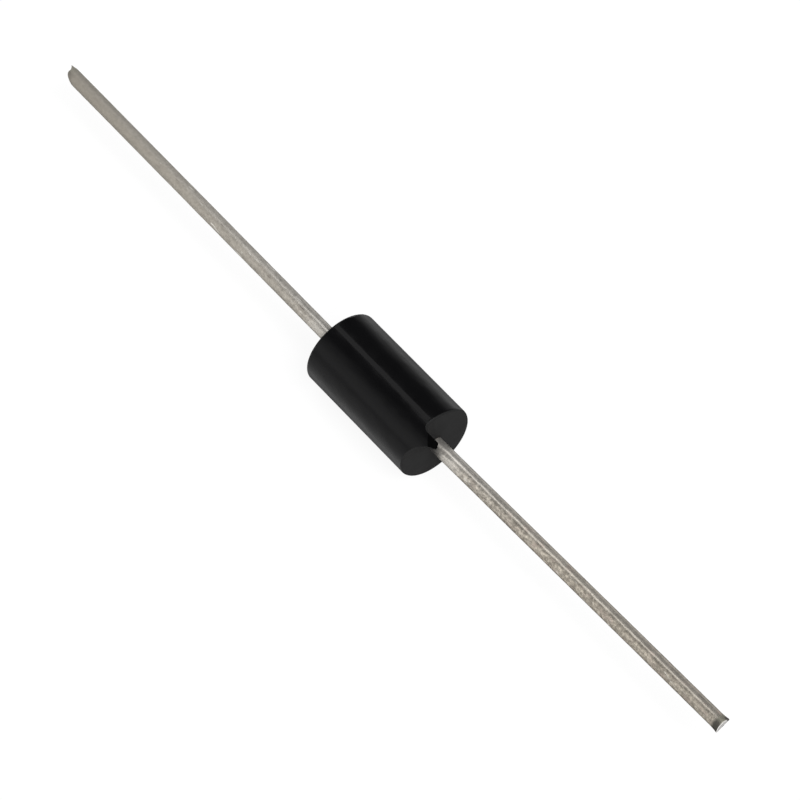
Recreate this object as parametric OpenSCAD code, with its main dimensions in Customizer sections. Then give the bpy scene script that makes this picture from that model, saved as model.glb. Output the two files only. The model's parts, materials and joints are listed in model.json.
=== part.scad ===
// Axial two-lead TVS diode: a black epoxy body moulded round a soldered stack of
// lead head, silicon chip and lead head, with two tinned copper leads on one axis.
// The origin is the middle of the body, +X runs along the right lead and +Z is up.

/* [Moulded body] */
// Diameter of the moulded body
body_d = 5.3; // [4.8:0.05:5.8]
// Length of the body between its end faces
body_l = 9.4; // [8.4:0.1:10.4]
// Rounding along the rim of each end face
rim_r = 0.2; // [0.06:0.02:0.4]
// Angle of the mould's parting plane, from +Z towards -Y
seam_angle = 8; // [0:1:90]
// Width of the seam that the parting plane leaves
seam_w = 0.3; // [0.1:0.02:0.5]
// Height of the seam above the body's surface
seam_h = 0.02; // [0.01:0.01:0.06]

/* [Gate remnant] */
// Length of the broken mould gate, proud of the right end face
gate_l = 1.4; // [1.1:0.05:1.6]
// Width of the gate where the break starts
gate_w = 0.6; // [0.3:0.05:0.8]
// Thickness of the gate, inwards from the body's surface
gate_t = 0.4; // [0.35:0.05:0.7]
// Angle of the gate's middle, from +Z towards -Y
gate_angle = 27.5; // [0:0.5:90]
// Radius of the flare that carries the gate's lower side into the end face
gate_flare_r = 2.6; // [2:0.05:3]
// Radius of the fillet between the gate's upper side and the end face
gate_fillet_r = 0.5; // [0.3:0.05:0.8]
// Distance from the gate's tip back to the start of the break, on the lower side
break_l = 0.37; // [0.1:0.01:0.5]
// Turn of the break across the gate, back towards the upper side
break_skew = 45; // [20:1:50]
// Slope of the break, down from the body's surface
break_slope = 38; // [25:1:50]

/* [Leads] */
// Diameter of both leads, over their tin
lead_d = 1; // [0.9:0.01:1.1]
// Thickness of the tin on the free wire, which is dipped after moulding
tin_t = 0.01; // [0.005:0.005:0.02]
// Free length of the right lead, from the body to its cut end
right_lead_l = 25.8; // [18:0.1:32]
// Free length of the left lead, from the body to its cut end
left_lead_l = 28.6; // [18:0.1:32]
// Lean of the right lead, which handling has bent where it leaves the body
lead_lean = 0.9; // [0.2:0.05:1.1]
// Direction of that lean, from +Y towards +Z
lean_roll = 24; // [0:1:90]
// Diameter of the head that is upset on each lead's inner end
head_d = 2.8; // [2.2:0.05:3.2]
// Thickness of that head
head_t = 0.7; // [0.4:0.05:1]
// Fillet between a head and its lead
neck_r = 0.4; // [0.1:0.05:0.5]
// Spacing of the rings that the heading dies gripped into the wire behind the head
grip_pitch = 0.5; // [0.3:0.05:0.8]
// Depth of those rings
grip_depth = 0.06; // [0.02:0.01:0.1]
// Plain wire between the last ring and the end face of the body
grip_margin = 0.1; // [0.05:0.01:0.15]

/* [Cut ends] */
// Roll of both cuts about the lead axis, from +Y towards +Z
cut_roll = 24; // [0:1:90]
// Width across the two ears that the cutter squeezed out of the right lead
ear_w = 1.1; // [1.02:0.01:1.2]
// Length over which the right lead flares to its ears
ear_l = 0.9; // [0.5:0.05:1.2]
// Thickness of the ears
ear_t = 0.24; // [0.1:0.02:0.4]
// Setback of the lower half of the right lead's cut
undercut_l = 0.4; // [0.1:0.05:0.6]
// Radius of the edge that the cutter pressed over on the left lead
rollover_r = 0.42; // [0.1:0.02:0.45]
// Length of the burr on the left lead's other edge
burr_l = 0.14; // [0.04:0.02:0.3]
// Width of that burr at its root
burr_w = 0.3; // [0.1:0.02:0.4]

/* [Junction] */
// Side of the square silicon chip
chip_w = 2.4; // [1.8:0.05:2.6]
// Thickness of the chip
chip_t = 0.3; // [0.2:0.02:0.5]
// Thickness of the solder between the chip and each head
solder_t = 0.08; // [0.04:0.01:0.14]
// Bare edge of the chip round each solder disc
solder_margin = 0.12; // [0.05:0.01:0.3]
// Silicone that covers the chip's corners and the heads' rims
coat_cover = 0.2; // [0.1:0.02:0.3]
// Silicone lapped along the rim of each head
coat_lap = 0.3; // [0.1:0.02:0.35]

/* [Hidden] */
$fn = 96;
body_r = body_d / 2;
body_end = body_l / 2;
lead_r = lead_d / 2;
bare_r = lead_r - tin_t;
// Bare wire that runs on inside the start of the tinned wire
tin_lap = 0.2;
// Distance from the end face at which the leaning wire starts clear of the body
lean_gap = lead_r * tan(lead_lean);
head_r = head_d / 2;
// Inner face of each head, on the outer face of its solder disc
head_x = chip_t / 2 + solder_t;
solder_d = chip_w - 2 * solder_margin;
// Gripped stretch of each lead, divided into whole rings
grip_start = head_x + head_t + neck_r;
grip_end = body_end - grip_margin;
ring_count = round((grip_end - grip_start) / grip_pitch);
ring_l = (grip_end - grip_start) / ring_count;
// Outer radius and half length of the silicone bead
coat_r = max(chip_w / sqrt(2), head_r) + coat_cover;
coat_half = head_x + coat_lap;
// Depth of the gate's root inside the body, past the rounded rim
gate_root = rim_r + gate_t;
// Depth below the end face at which the flare and the fillet level out, within the rounded rim
flare_dip = 0.6 * rim_r;
// Distance from the end face to the start of the break
break_x = gate_l - break_l;
// Overrun of cutting shapes past the surfaces that they cut
over = 1;

// Turns a shape made along +Z so that it lies along +X
module along_x() {
    rotate([0, 90, 0]) children();
}

// Mirrors a shape made on the right, +X, side to the left side
module to_left() {
    mirror([1, 0, 0]) children();
}

// Outline whose square corner at the origin is replaced by a tangent arc
module corner_waste(r) {
    difference() {
        translate([-over, -over]) square(r + over);
        translate([r, r]) circle(r);
        translate([r, -over]) square([over, r + over]);
        translate([-over, r]) square([r + over, over]);
    }
}

// Half section of the body: radius along x, lead axis along y
module barrel_section() {
    difference() {
        translate([0, -body_end]) square([body_r, body_l]);
        for (end = [0, 1])
            mirror([0, end])
                translate([body_r, -body_end])
                    mirror([1, 0])
                        corner_waste(rim_r);
    }
}

// The two proud lines that the mould halves left along the body
module seam() {
    rotate([seam_angle, 0, 0])
        cube([body_l - 2 * rim_r, seam_w, body_d + 2 * seam_h], center = true);
}

// Offset of the centre of a flank's arc, which has come in to the gate's width at the break
function flank_y(r) = gate_w / 2 + sqrt(pow(r, 2) - pow(max(0, r - flare_dip - break_x), 2));

// Waste beside the gate: an arc out of the end face, then the straight side
module flank_waste(r) {
    arc_x = body_end + r - flare_dip;
    translate([arc_x, flank_y(r)]) circle(r);
    translate([arc_x, gate_w / 2]) square([gate_l, r + over]);
}

// Plan of the gate, with its lower side towards -Y
module gate_plan() {
    difference() {
        translate([body_end - gate_root, -flank_y(gate_flare_r)])
            square([gate_root + gate_l, flank_y(gate_flare_r) + flank_y(gate_fillet_r)]);
        flank_waste(gate_fillet_r);
        mirror([0, 1]) flank_waste(gate_flare_r);
    }
}

// Waste beyond the break, which starts on the lower side and runs back to the upper one
module break_waste() {
    translate([body_end + break_x, -gate_w / 2, body_r])
        rotate([0, break_slope, break_skew])
            translate([-over, -body_r, 0])
                cube([body_r + over, body_d, body_r]);
}

// Remnant of the mould gate, flush with the body's round surface
module gate_remnant() {
    intersection() {
        along_x()
            translate([0, 0, body_end - gate_root])
                difference() {
                    cylinder(r = body_r, h = gate_root + gate_l);
                    translate([0, 0, -over])
                        cylinder(r = body_r - gate_t, h = gate_root + gate_l + 2 * over);
                }
        rotate([gate_angle, 0, 0])
            difference() {
                linear_extrude(body_d) gate_plan();
                break_waste();
            }
    }
}

// Zigzag half section of the gripped wire, which locks the lead in the epoxy
module grip_section() {
    polygon(concat(
        [[0, grip_start]],
        [for (i = [0 : 2 * ring_count])
            [bare_r - (i % 2) * grip_depth, grip_start + i * ring_l / 2]],
        [[0, grip_end]]
    ));
}

// Half section of a lead's bare wire: radius along x, distance from the chip along y
module wire_section(stop_y) {
    neck_y = head_x + head_t;
    translate([0, head_x]) square([head_r, head_t]);
    translate([0, neck_y])
        difference() {
            square([bare_r + neck_r, neck_r]);
            translate([bare_r + neck_r, neck_r]) circle(neck_r);
        }
    grip_section();
    translate([0, grip_end]) square([bare_r, stop_y - grip_end]);
}

// Bare copper wire inside the body, from its head to a distance past the end face
module bare_wire(past) {
    along_x()
        rotate_extrude()
            wire_section(body_end + past);
}

// Tinned wire outside the body, before its end is cut to shape
module tinned_wire(free_l) {
    along_x()
        translate([0, 0, body_end])
            cylinder(r = lead_r, h = free_l);
}

// Carries what is made along +X onto the lean of the right lead, from the end face on
module leaning() {
    translate([body_end, 0, 0])
        rotate([lean_roll, 0, 0])
            rotate([0, 0, lead_lean])
                rotate([-lean_roll, 0, 0])
                    translate([lean_gap - body_end, 0, 0])
                        children();
}

// Plan of the two ears beside the right lead's cut, which start inside the wire
module ear_plan(tip_x) {
    root = sqrt(lead_r * lead_r - ear_t * ear_t);
    polygon([
        [tip_x - ear_l, -root], [tip_x, -ear_w / 2],
        [tip_x, ear_w / 2], [tip_x - ear_l, root]
    ]);
}

// Waste below the right lead's cut, which slopes back from the line of the ears
module undercut_waste(tip_x) {
    polygon([
        [tip_x - 2 * undercut_l, -lead_d], [tip_x + 2 * undercut_l, -lead_d],
        [tip_x + 2 * undercut_l, lead_d]
    ]);
}

// Waste round the left lead's cut: flat, with one edge pressed over and one burr
module burred_waste(tip_x) {
    cut_x = tip_x - burr_l;
    difference() {
        union() {
            translate([cut_x, -lead_d]) square([burr_l + over, 2 * lead_d]);
            translate([cut_x, -lead_r]) mirror([1, 0]) corner_waste(rollover_r);
        }
        polygon([
            [cut_x - burr_l, lead_r - burr_w], [cut_x, lead_r - burr_w],
            [tip_x, lead_r - burr_w / 2], [cut_x - burr_l, lead_r]
        ]);
    }
}

// Silicone bead before the stack inside it is taken out
module coating_section() {
    straight_r = coat_r - coat_half;
    translate([0, -coat_half]) square([straight_r, 2 * coat_half]);
    translate([straight_r, 0])
        intersection() {
            circle(coat_half);
            translate([0, -coat_half]) square([coat_half, 2 * coat_half]);
        }
}

module coating_blank() {
    along_x()
        rotate_extrude()
            coating_section();
}

// Black epoxy, moulded in one shot round the leads and the coated junction
module moulded_body() {
    color("#1c1c1e")
        difference() {
            union() {
                along_x()
                    rotate_extrude()
                        barrel_section();
                seam();
                gate_remnant();
            }
            bare_wire(over);
            to_left() bare_wire(over);
            coating_blank();
        }
}

// Free wire of the right lead with its pinched end: two ears and a sloping underside
module pinched_wire() {
    tip_x = body_end + right_lead_l;
    difference() {
        union() {
            tinned_wire(right_lead_l);
            rotate([cut_roll, 0, 0])
                linear_extrude(ear_t, center = true)
                    ear_plan(tip_x);
        }
        rotate([cut_roll + 90, 0, 0])
            linear_extrude(2 * lead_d, center = true)
                undercut_waste(tip_x);
    }
}

// Tinned copper lead that leans from the body, with a pinched end
module right_lead() {
    color("#b4aea3")
        union() {
            bare_wire(tin_lap);
            leaning() pinched_wire();
        }
}

// Tinned copper lead with a sheared end: one edge pressed over, one burr
module left_lead() {
    tip_x = body_end + left_lead_l;
    color("#b4aea3")
        to_left()
            difference() {
                union() {
                    bare_wire(tin_lap);
                    tinned_wire(left_lead_l);
                }
                rotate([cut_roll, 0, 0])
                    linear_extrude(2 * lead_d, center = true)
                        burred_waste(tip_x);
            }
}

// Square silicon chip with the protecting junction
module silicon_chip() {
    color("#586069")
        cube([chip_t, chip_w, chip_w], center = true);
}

module solder_disc() {
    along_x()
        translate([0, 0, chip_t / 2])
            cylinder(d = solder_d, h = solder_t);
}

// Solder between the chip and the right lead's head
module right_solder() {
    color("#a3a6a8") solder_disc();
}

// Solder between the chip and the left lead's head
module left_solder() {
    color("#a3a6a8") to_left() solder_disc();
}

// Silicone bead round the chip's edge, over the rims of both heads
module junction_coating() {
    color("#e6e3da")
        difference() {
            coating_blank();
            silicon_chip();
            solder_disc();
            to_left() solder_disc();
            bare_wire(over);
            to_left() bare_wire(over);
        }
}

moulded_body();
right_lead();
left_lead();
silicon_chip();
right_solder();
left_solder();
junction_coating();
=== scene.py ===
import json
import math

import bmesh
import bpy
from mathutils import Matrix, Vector, noise


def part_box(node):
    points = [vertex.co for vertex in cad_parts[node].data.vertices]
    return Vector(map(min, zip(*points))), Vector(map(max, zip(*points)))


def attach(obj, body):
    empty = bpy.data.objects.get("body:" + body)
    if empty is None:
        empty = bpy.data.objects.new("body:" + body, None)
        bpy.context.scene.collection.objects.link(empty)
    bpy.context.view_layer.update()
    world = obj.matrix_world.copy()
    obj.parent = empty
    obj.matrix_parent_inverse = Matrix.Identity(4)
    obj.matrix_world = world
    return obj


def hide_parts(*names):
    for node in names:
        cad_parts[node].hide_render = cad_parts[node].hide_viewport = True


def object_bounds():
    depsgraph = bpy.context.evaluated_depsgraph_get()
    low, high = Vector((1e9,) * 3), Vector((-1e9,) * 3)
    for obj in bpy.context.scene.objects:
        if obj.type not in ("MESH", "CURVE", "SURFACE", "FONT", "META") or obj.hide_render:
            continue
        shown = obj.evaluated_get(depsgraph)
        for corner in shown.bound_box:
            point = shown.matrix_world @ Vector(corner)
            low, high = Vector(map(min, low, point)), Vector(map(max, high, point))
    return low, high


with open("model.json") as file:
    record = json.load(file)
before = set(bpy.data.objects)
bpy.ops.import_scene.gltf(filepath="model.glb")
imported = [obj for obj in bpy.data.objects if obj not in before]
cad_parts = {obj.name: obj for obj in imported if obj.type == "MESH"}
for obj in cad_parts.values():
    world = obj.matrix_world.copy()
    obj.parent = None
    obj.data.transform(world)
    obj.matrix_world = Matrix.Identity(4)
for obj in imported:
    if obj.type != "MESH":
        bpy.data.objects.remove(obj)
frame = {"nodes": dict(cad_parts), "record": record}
cad_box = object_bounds()

# Silicon chip
# A square plate of silicon with a junction under each face, sawn from a lapped wafer.
# It stands on edge in the middle of the body, soldered between the heads of the leads.
mm = 0.001


class Field:
    """A number, colour or vector that varies over a finish: one output of a node tree.

    Sums, differences and products of numbers add Math nodes to that tree.
    """

    def __init__(self, tree, socket=None):
        self.tree = tree
        self.socket = socket

    def node(self, kind, settings=None, inputs=None, output=0):
        """Adds a node: first its settings, then the value or the link of each input."""
        made = self.tree.nodes.new(kind)
        for name, value in (settings or {}).items():
            setattr(made, name, value)
        for name, value in (inputs or {}).items():
            if isinstance(value, Field):
                self.tree.links.new(value.socket, made.inputs[name])
            else:
                made.inputs[name].default_value = value
        return Field(self.tree, made.outputs[output])

    def math(self, operation, first, second):
        return self.node("ShaderNodeMath", {"operation": operation}, {0: first, 1: second})

    def __add__(self, other):
        return self.math("ADD", self, other)

    def __sub__(self, other):
        return self.math("SUBTRACT", self, other)

    def __rsub__(self, other):
        return self.math("SUBTRACT", other, self)

    def __mul__(self, other):
        return self.math("MULTIPLY", self, other)

    __radd__ = __add__
    __rmul__ = __mul__

    def vector(self, operation, other=(0, 0, 0), output=0):
        return self.node("ShaderNodeVectorMath", {"operation": operation}, {0: self, 1: other}, output)

    def axis(self, letter):
        """One coordinate of a vector."""
        return self.node("ShaderNodeSeparateXYZ", {}, {0: self}, letter)

    def rise(self, low, high):
        """0 below low, 1 above high and a smooth rise between; high may be the lower one."""
        return self.node(
            "ShaderNodeMapRange",
            {"interpolation_type": "SMOOTHSTEP"},
            {"Value": self, "From Min": low, "From Max": high},
        )

    def tint(self, colour, other):
        """The first colour where this is 0 and the other where it is 1."""
        rgba = [c if isinstance(c, Field) else (*c, 1) for c in (colour, other)]
        return self.node(
            "ShaderNodeMix", {"data_type": "RGBA"}, {0: self, 6: rgba[0], 7: rgba[1]}, output=2
        )

    def grain(self, along, across, detail=2, roughness=0.5):
        """Noise over a place, with that many grains to a millimetre along and across the leads."""
        place = self.vector("MULTIPLY", (along / mm, across / mm, across / mm))
        return self.node(
            "ShaderNodeTexNoise",
            {},
            {"Vector": place, "Scale": 1, "Detail": detail, "Roughness": roughness},
        )


class Finish:
    """A procedural material: constants on its shader, and fields that feed it."""

    def __init__(self, name, **constants):
        self.material = bpy.data.materials.new(name)
        self.material.use_nodes = True
        self.tree = self.material.node_tree
        self.shader = self.tree.nodes["Principled BSDF"]
        for socket, value in constants.items():
            self.shader.inputs[socket.replace("_", " ")].default_value = value
        self.place = Field(self.tree).node("ShaderNodeTexCoord", output="Object")

    def feed(self, socket, field):
        self.tree.links.new(field.socket, self.shader.inputs[socket])

    def relief(self, height):
        """Feeds a height in millimetres to the normal."""
        self.feed("Normal", height.node("ShaderNodeBump", {}, {"Distance": mm, "Height": height}))

    def dress(self, *objects):
        for o in objects:
            o.data.materials.clear()
            o.data.materials.append(self.material)


silicon = Finish("lapped_silicon", Metallic=1)
lapping = silicon.place.grain(30, 30, detail=4)
silicon.feed("Base Color", lapping.tint((0.14, 0.15, 0.17), (0.24, 0.26, 0.29)))
silicon.feed("Roughness", 0.35 + 0.2 * lapping)
silicon.relief(0.002 * lapping)
silicon.dress(frame["nodes"]["silicon_chip"])

# Solder discs
# One thin disc of high-melting solder on each face of the chip, cut from foil.
# It melts in a furnace and joins the chip to the head of each lead.
solder = Finish("solder", Metallic=1)
grains = solder.place.grain(9, 9, detail=3)
solder.feed("Base Color", grains.tint((0.36, 0.37, 0.38), (0.56, 0.57, 0.58)))
solder.feed("Roughness", 0.4 + 0.25 * grains)
solder.relief(0.006 * grains)
solder.dress(frame["nodes"]["right_solder"], frame["nodes"]["left_solder"])

# Leads
# Soft copper wire with a head upset on its inner end and rings gripped into it by the dies.
# Outside the body it is dipped in tin after moulding, which leaves lumps, pits and warm patches.
# The right wire is pinched off with a nipper, and the left one is sheared.
mounts = {m["name"]: m for m in frame["record"]["mounts"]}
lead_r = mounts["right_lead"]["dims"]["r_mm"] * mm
tin_t = 0.01 * mm
bare_r = lead_r - tin_t
body_end = -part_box("moulded_body")[0].x
head_t = 0.7 * mm
neck_r = 0.4 * mm
ring_count = 7
ring_depth = 0.06 * mm
plain_margin = 0.1 * mm
sag_h = 0.006 * mm
lump_h = 0.005 * mm
ridge_h = 0.002 * mm
dip_sink = 0.004 * mm
dip_start = 0.025
cut_roll = math.radians(24)
lead_sides = 64
free_rings = 900
arc_steps = 6
centre_share = 0.02
cap_shares = (0.985, 0.965, 0.94, 0.9, 0.84, 0.76, 0.66, 0.54, 0.42, 0.3, 0.18, 0.08)


def bare_profile(head_face, head_r):
    """Distance from the chip and radius along the bare wire inside the body."""
    neck = head_face + head_t
    profile = [(head_face, centre_share * head_r), (head_face, head_r), (neck, head_r)]
    for i in range(arc_steps + 1):
        turn = math.pi / 2 * i / arc_steps
        profile.append((neck + neck_r * (1 - math.cos(turn)), bare_r + neck_r * (1 - math.sin(turn))))
    start, stop = neck + neck_r, body_end - plain_margin
    for i in range(1, 2 * ring_count + 1):
        profile.append((start + (stop - start) * i / (2 * ring_count), bare_r - ring_depth * (i % 2)))
    return profile + [(body_end, bare_r)]


def dip_relief(x, turn):
    """Height of the tin over the wire's true radius: long sags, lumps and fine ridges."""

    def wave(along, around, start):
        """Noise with so many waves to a millimetre along the wire, and to a radian round it."""
        y, z = math.cos(turn) * around, math.sin(turn) * around
        return noise.noise(Vector((x / mm * along + start, y, z)))

    sags, lumps, ridges = wave(0.5, 1, 0), wave(2.2, 1.6, 40), wave(0.8, 5, 80)
    return sag_h * sags + lump_h * lumps + ridge_h * ridges - dip_sink


def lead(name, node, side, free_l, lean, setback, flare):
    """One lead from its head to its cut end.

    setback says how far the cut lies behind the tip, at each place of the section, and flare
    how the tool pushed the section out of shape.
    """
    low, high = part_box(node)
    head_face = min(side * low.x, side * high.x)
    tip = body_end + free_l
    clear = lead_r * math.tan(lean)
    turns = [2 * math.pi * i / lead_sides for i in range(lead_sides)]

    def placed(x, u, v):
        """A point of the section, rolled to the direction of the cut."""
        y = u * math.cos(cut_roll) - v * math.sin(cut_roll)
        z = u * math.sin(cut_roll) + v * math.cos(cut_roll)
        return side * x, y, z

    def free_ring(distance_of, radius_of):
        """A ring of the tinned wire, which leans towards u from the end face on."""
        points = []
        for turn in turns:
            x, radius = distance_of(turn), radius_of(turn)
            u, v = flare(radius * math.cos(turn), radius * math.sin(turn), tip - x)
            past = x - body_end + clear
            leaning_x = body_end + past * math.cos(lean) - u * math.sin(lean)
            points.append(placed(leaning_x, past * math.sin(lean) + u * math.cos(lean), v))
        return points

    rings = [
        [placed(x, r * math.cos(turn), r * math.sin(turn)) for turn in turns]
        for x, r in bare_profile(head_face, high.y if side < 0 else -low.y)
    ]
    for i in range(free_rings + 1):
        share = i / free_rings

        def tinned_x(turn):
            back_by = setback(lead_r * math.cos(turn), lead_r * math.sin(turn), 1)
            return body_end + (free_l - back_by) * share

        def tinned_r(turn):
            return lead_r + min(1, share / dip_start) * dip_relief(side * tinned_x(turn), turn)

        rings.append(free_ring(tinned_x, tinned_r))
    for k in cap_shares:

        def cut_x(turn):
            return tip - setback(k * lead_r * math.cos(turn), k * lead_r * math.sin(turn), k)

        def cut_r(turn):
            return k * (lead_r + dip_relief(side * tip, turn))

        rings.append(free_ring(cut_x, cut_r))
    points = [p for r in rings for p in r]
    faces = []
    for i in range(len(rings) - 1):
        here, there = i * lead_sides, (i + 1) * lead_sides
        for j in range(lead_sides):
            beside = (j + 1) % lead_sides
            faces.append((here + j, here + beside, there + beside, there + j))
    faces.append(tuple(range(lead_sides)))
    faces.append(tuple(range(len(points) - lead_sides, len(points))))
    mesh = bpy.data.meshes.new(name)
    mesh.from_pydata(points, [], faces)
    work = bmesh.new()
    work.from_mesh(mesh)
    bmesh.ops.recalc_face_normals(work, faces=work.faces)
    work.to_mesh(mesh)
    work.free()
    mesh.polygons.foreach_set("use_smooth", [True] * len(mesh.polygons))
    mesh.set_sharp_from_angle(angle=math.radians(40))
    piece = bpy.data.objects.new(name, mesh)
    bpy.context.scene.collection.objects.link(piece)
    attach(piece, "root")
    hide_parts(node)
    return piece


def rounded(k, edge_r):
    """Setback of a cut's rounded rim, where k is 1 at the rim and 0 in the middle."""
    inside = max(0.0, edge_r - (1 - k) * lead_r)
    return edge_r - math.sqrt(edge_r**2 - inside**2)


right_free_l = 25.8 * mm
right_lean = math.radians(0.9)
ear_l = 0.7 * mm
ear_flare = 0.12
pinch = 0.1
undercut_l = 0.4 * mm
nip_edge_r = 0.07 * mm


def nipped_setback(u, v, k):
    """The nipper's flat on the upper half, and a slope back below the line of the ears."""
    return rounded(k, nip_edge_r) + undercut_l * max(0.0, -v / lead_r)


def nipped_flare(u, v, to_tip):
    """Two ears squeezed out at the sides, and the top pressed down between them."""
    near = max(0.0, 1 - to_tip / ear_l) ** 2
    middle = max(0.0, 1 - (v / lead_r) ** 2) ** 4
    return u * (1 + ear_flare * near * middle), v * (1 - pinch * near)


left_free_l = 28.6 * mm
rollover_l = 0.6 * mm
burr_l = 0.36 * mm
burr_at = 0.42 * mm
burr_w = 0.3 * mm
shear_edge_r = 0.04 * mm


def sheared_setback(u, v, k):
    """A flat shear with one edge pressed over and a burr drawn up beside the other."""
    over = rollover_l * min(0.0, u / lead_r) ** 2
    from_burr = (burr_at - u) / burr_w if u < burr_at else (u - burr_at) / (lead_r - burr_at)
    return rounded(k, shear_edge_r) + over + burr_l * (1 - max(0.0, 1 - from_burr) ** 2)


def no_flare(u, v, to_tip):
    return u, v


right_lead = lead(
    "right_lead_tinned", "right_lead", 1, right_free_l, right_lean, nipped_setback, nipped_flare
)
left_lead = lead("left_lead_tinned", "left_lead", -1, left_free_l, 0, sheared_setback, no_flare)

# Colours of the tin and of its marks: dark and light ones for a mottle, single ones for the rest
cool_tin = (0.2, 0.191, 0.176), (0.565, 0.54, 0.498)
tan_tin = (0.205, 0.182, 0.15), (0.575, 0.52, 0.43)
copper_blush = (0.43, 0.355, 0.31)
worn_tin = (0.2, 0.183, 0.155)
painted_glint = (0.78, 0.76, 0.71)
stain = (0.17, 0.15, 0.135)
pit_floor = (0.12, 0.105, 0.09)
root_pale_tin = (0.68, 0.66, 0.62)
painted_root_shade = (0.06, 0.06, 0.06)
tool_smear = (0.05, 0.048, 0.042), (0.2, 0.195, 0.16)
cut_metal = (0.9, 0.88, 0.86)
ear_smear = (0.07, 0.062, 0.064)
bare_copper = (0.75, 0.36, 0.2)

tin = Finish("dipped_tin", Specular_IOR_Level=0.05, Specular_Tint=(0, 0, 0, 1))
along = tin.place.axis("X")
facing = tin.place.node("ShaderNodeNewGeometry", output="Normal")
sideways = facing.axis("Y")


def from_body(none, full):
    """0 at one distance along the leads from the nearer end face, and 1 at the other."""
    return (along * along).rise((body_end + none) ** 2, (body_end + full) ** 2)


# Mottling, strongest on the flank of the right lead, over tin that is dull at the left tip, with painted
# shade on the flank facing -Y
fresh = along.rise(-26 * mm, 3 * mm)
warmth = along.rise(4 * mm, 18 * mm)
flank = sideways.rise(-0.05, -0.5)
mottled = along.rise(-14 * mm, 5 * mm) * flank
fleck = tin.place.grain(5, 6, detail=3)
blotch = tin.place.grain(1.2, 2.8, detail=2)
blush = tin.place.grain(1.4, 2.5, detail=3).rise(0.52, 0.66)
# Painted shade: the mean tone is darker on the flank facing -Y, most towards the right lead
flank_shaded_tone = 0.5 - (0.12 + 0.03 * warmth) * fresh * sideways.rise(-0.35, -0.6)
mottle = (flank_shaded_tone + (1.1 + 1.7 * mottled) * (0.6 * fleck + 0.3 * blotch - 0.45)).rise(0, 1)
grey = (0.45 * flank + 0.45 * warmth).tint(mottle.tint(*cool_tin), mottle.tint(*tan_tin))
flushed = (blush * (0.1 + 0.35 * warmth)).tint(grey, copper_blush)
tarnish = from_body(3.3 * mm, 29.3 * mm)
worn = (0.5 - 0.5 * fresh + 0.3 * tarnish).tint(flushed, worn_tin)

# Painted glints, stains and pits
clear_of_left_tip = along.rise(-25 * mm, -21 * mm)
glint_and_stain_grain = tin.place.grain(0.8, 5, detail=2)
# Painted highlight: sparse pale specks in the base colour stand in for glints on small ridges of tin
with_painted_glints = (0.55 * clear_of_left_tip * glint_and_stain_grain.rise(0.65, 0.73)).tint(worn, painted_glint)
stained = (0.7 * clear_of_left_tip * glint_and_stain_grain.rise(0.34, 0.27)).tint(with_painted_glints, stain)
pits = tin.place.grain(5, 7, detail=3, roughness=0.6).rise(0.6, 0.7)
pitting = (0.15 + 0.65 * mottled) * pits
pitted = pitting.tint(stained, pit_floor)

# Paler tin colour within about 3 mm of the body, and painted shade at the root: near-black for the black
# body's reflection and its shade
paled_root = (from_body(3.3 * mm, 1.7 * mm) * (0.2 + 0.14 * flank)).tint(pitted, root_pale_tin)
root_shade_share = 0.45 * sideways.rise(-0.25, 0.1) + 0.9 * sideways.rise(-0.2, -0.9)
# Painted shade: within 1.5 mm of the body the tin turns near black, strongest on the flank facing -Y and
# weaker on the +Y side
root_shaded = (from_body(1.5 * mm, 0.2 * mm) * root_shade_share).tint(paled_root, painted_root_shade)

# Marks of the tools at the tips: smears on both, bright metal and a dark ear on the nipped one
right_tip, left_tip = body_end + right_free_l, -body_end - left_free_l
pinched = along.rise(right_tip - 0.62 * mm, right_tip - 0.3 * mm)
sheared = along.rise(left_tip + 1.15 * mm, left_tip + 0.5 * mm)
smear = sideways.rise(-0.6, 0.1).tint(*tool_smear)
bruised = (0.95 * pinched + 0.45 * sheared).tint(root_shaded, smear)
cut = pinched * facing.axis("X").rise(0.6, 0.8)
shown = cut.tint(bruised, cut_metal)
across = tin.place.vector("DOT_PRODUCT", (0, math.cos(cut_roll), math.sin(cut_roll)), "Value")
leant = right_free_l * math.sin(right_lean)
ear = across.rise(leant + 0.34 * mm, leant + 0.44 * mm)
ear_end = along.rise(right_tip - 0.28 * mm, right_tip - 0.14 * mm)
tipped = (0.9 * ear * ear_end).tint(shown, ear_smear)

bare = from_body(0.02 * mm, -0.02 * mm)
ridges = tin.place.grain(0.6, 12, detail=2)
tin.feed("Base Color", bare.tint(tipped, bare_copper))
tin.feed("Metallic", 0.3 + 0.32 * fresh + 0.6 * cut + bare)
tin.feed("Roughness", 0.42 - 0.28 * fresh + 0.13 * fleck + 0.15 * pits + 0.3 * (pinched - cut))
tin.relief(0.0015 * fleck + 0.001 * ridges - 0.005 * pitting)
tin.dress(right_lead, left_lead)

# Junction coating
# A bead of white silicone rubber, dropped on wet and cured round the chip's edge.
# It seals the junctions and takes up strain between the silicon and the epoxy.
silicone = Finish("silicone_bead", Roughness=0.55)
cloud = silicone.place.grain(1.5, 1.5, detail=3)
silicone.feed("Base Color", cloud.tint((0.74, 0.72, 0.66), (0.84, 0.82, 0.77)))
silicone.relief(0.01 * cloud)
silicone.dress(frame["nodes"]["junction_coating"])

# Moulded body
# Black epoxy filled with silica, pressed hot into a two-part mould round the coated stack.
# It keeps the mould's satin skin, the seam between the halves and the broken gate, whose break face is
# painted black as shade.
glossy_black = (0.0016, 0.0016, 0.0018), (0.003, 0.003, 0.0032)
dull_black = (0.0075, 0.0075, 0.0075)
gate_shade_black = (0.001, 0.001, 0.001)
seam_angle = math.radians(8)
flash_half_mm = 0.14
flash_fade_mm = 0.03

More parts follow.
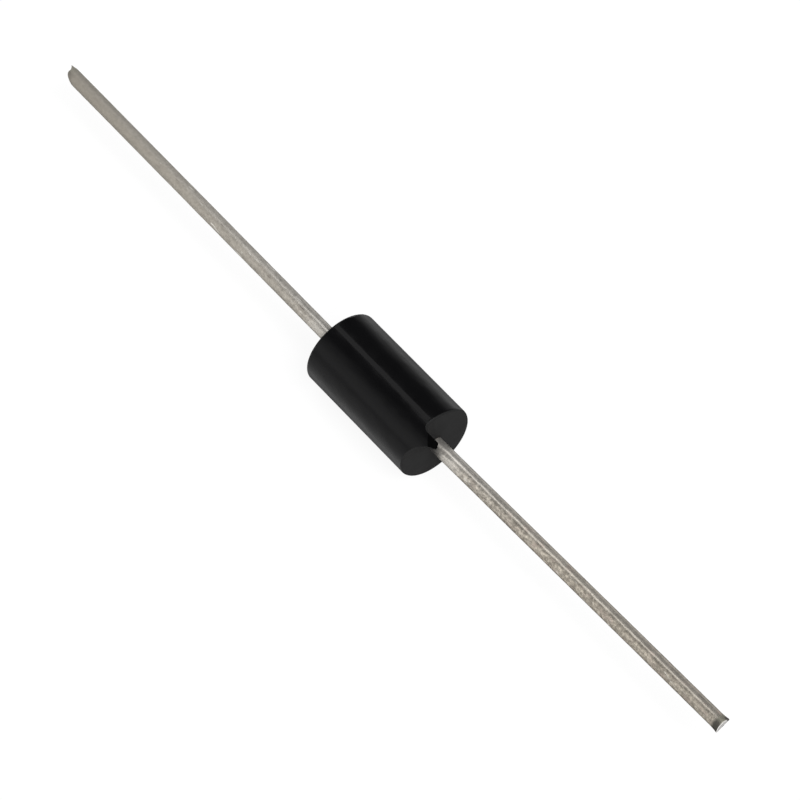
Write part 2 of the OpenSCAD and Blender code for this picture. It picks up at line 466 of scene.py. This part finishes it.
epoxy = Finish("moulded_epoxy", Specular_IOR_Level=0.12)
outwards = epoxy.place.vector("MULTIPLY", (0, 1, 1)).vector("NORMALIZE")
radial = epoxy.place.node("ShaderNodeNewGeometry", output="Normal").vector("DOT_PRODUCT", outwards, "Value")
face = radial.rise(0.97, 0.8)
gate = epoxy.place.axis("X").rise(body_end + 0.2 * mm, body_end + 0.3 * mm)
gate_break_shaded = gate * radial.rise(0.9, 0.85) * radial.rise(0.6, 0.7)
smudges = epoxy.place.grain(0.5, 0.7, detail=3)
black = smudges.tint(*glossy_black)
# Painted shade: the gate's break face is coloured near black, for the shade of the notch above the lead's
# root
epoxy.feed("Base Color", gate_break_shaded.tint(face.tint(black, dull_black), gate_shade_black))

parting = (0, math.cos(seam_angle) / mm, math.sin(seam_angle) / mm)
from_seam = epoxy.place.vector("DOT_PRODUCT", parting, "Value")
flash = (from_seam * from_seam).rise((flash_half_mm + flash_fade_mm) ** 2, flash_half_mm**2)
skin = epoxy.place.grain(9, 9, detail=4, roughness=0.6)
slant = epoxy.place.node("ShaderNodeLayerWeight", {}, {"Blend": 0.5}, "Facing").rise(0.45, 0.9)
satin = 0.07 + 0.16 * smudges + 0.05 * skin + 0.06 * flash + 0.42 * slant
epoxy.feed("Roughness", satin + 0.5 * face - 0.8 * gate_break_shaded)

flow = epoxy.place.grain(0.25, 2.2, detail=2)
sinks = epoxy.place.grain(0.4, 0.55, detail=2)
epoxy.relief(0.0008 * skin + 0.006 * flow + 0.06 * sinks)
epoxy.dress(frame["nodes"]["moulded_body"])

# Floor
# A plain white table, which the body lies on and the camera looks down to.
# It is lit like any table, and to the camera and in reflections it is close to white.
floor_half = 1.5
floor_z = cad_box[0].z
floor_mesh = bpy.data.meshes.new("floor")
corners = [(x * floor_half, y * floor_half, floor_z) for x, y in ((-1, -1), (1, -1), (1, 1), (-1, 1))]
floor_mesh.from_pydata(corners, [], [(0, 1, 2, 3)])
floor = bpy.data.objects.new("floor", floor_mesh)
bpy.context.scene.collection.objects.link(floor)
table = Finish("white_table", Base_Color=(0.85, 0.85, 0.85, 1), Roughness=0.9, Specular_IOR_Level=0)
seen = table.place.node("ShaderNodeLightPath", output="Is Camera Ray")
for ray in ("Is Glossy Ray", "Is Transmission Ray"):
    seen = seen + seen.node("ShaderNodeLightPath", output=ray)
white_share = 0.9
white = table.place.node("ShaderNodeEmission", {}, {"Strength": 1})
lit = Field(table.tree, table.shader.outputs[0])
paled = lit.node("ShaderNodeMixShader", {}, {0: white_share * seen, 1: lit, 2: white})
output = table.tree.nodes["Material Output"]
table.tree.links.new(paled.socket, output.inputs["Surface"])
table.dress(floor)

# Studio
# A pale cove round the table under a dim ceiling, with a wide bright window on one side.
# One large soft light hangs over the right lead and one narrow strip over the left lead,
# whose reflection is the bright line along the body and the leads.
world = bpy.data.worlds.new("studio")
world.use_nodes = True
bpy.context.scene.world = world
sky = Field(world.node_tree).node("ShaderNodeTexCoord", output="Generated")
dim, pale, bright = (0.11, 0.11, 0.116), (0.8, 0.8, 0.8), (1.4, 1.4, 1.4)
cove = sky.axis("Z").rise(0.5, 0).tint(dim, pale)
window = sky.axis("Y").rise(-0.33, -0.85) * sky.axis("Z").rise(0, 0.3)
background = world.node_tree.nodes["Background"]
world.node_tree.links.new(window.tint(cove, bright).socket, background.inputs["Color"])


def panel(name, direction, distance, size, watts):
    """A soft rectangular light that faces the body."""
    light = bpy.data.lights.new(name, "AREA")
    light.shape = "RECTANGLE"
    light.size, light.size_y = size
    light.energy = watts
    holder = bpy.data.objects.new(name, light)
    towards = Vector(direction).normalized()
    holder.location = towards * distance
    holder.rotation_mode = "QUATERNION"
    holder.rotation_quaternion = towards.to_track_quat("Z", "Y")
    bpy.context.scene.collection.objects.link(holder)


panel("soft_light", direction=(0.62, -0.05, 0.78), distance=0.8, size=(0.6, 0.6), watts=9.5)
panel("strip_light", direction=(-0.453, 0.128, 0.882), distance=0.5, size=(0.18, 0.6), watts=0.56)

# Camera
# A long lens, looking down at the body from above its right end.
# Its angles, distance and focal length are fitted to the edges of the body and the leads.
azimuth, elevation = math.radians(51.23), math.radians(54.59)
camera_distance = 228.2 * mm
focal_px = 3726
frame_px = 800
body_px = (387.0, 394.6)
sensor = 36
camera_data = bpy.data.cameras.new("camera")
camera_data.sensor_width = sensor
camera_data.lens = focal_px / frame_px * sensor
camera = bpy.data.objects.new("camera", camera_data)
back = Vector(
    (
        math.sin(azimuth) * math.cos(elevation),
        -math.cos(azimuth) * math.cos(elevation),
        math.sin(elevation),
    )
)
right = Vector((math.cos(azimuth), math.sin(azimuth), 0))
up = back.cross(right)
px = camera_distance / focal_px
aside = right * (frame_px / 2 - body_px[0]) * px - up * (frame_px / 2 - body_px[1]) * px
camera.location = back * camera_distance + aside
camera.rotation_mode = "QUATERNION"
camera.rotation_quaternion = back.to_track_quat("Z", "Y")
bpy.context.scene.collection.objects.link(camera)
bpy.context.scene.camera = camera
bpy.context.scene.view_settings.view_transform = "Standard"
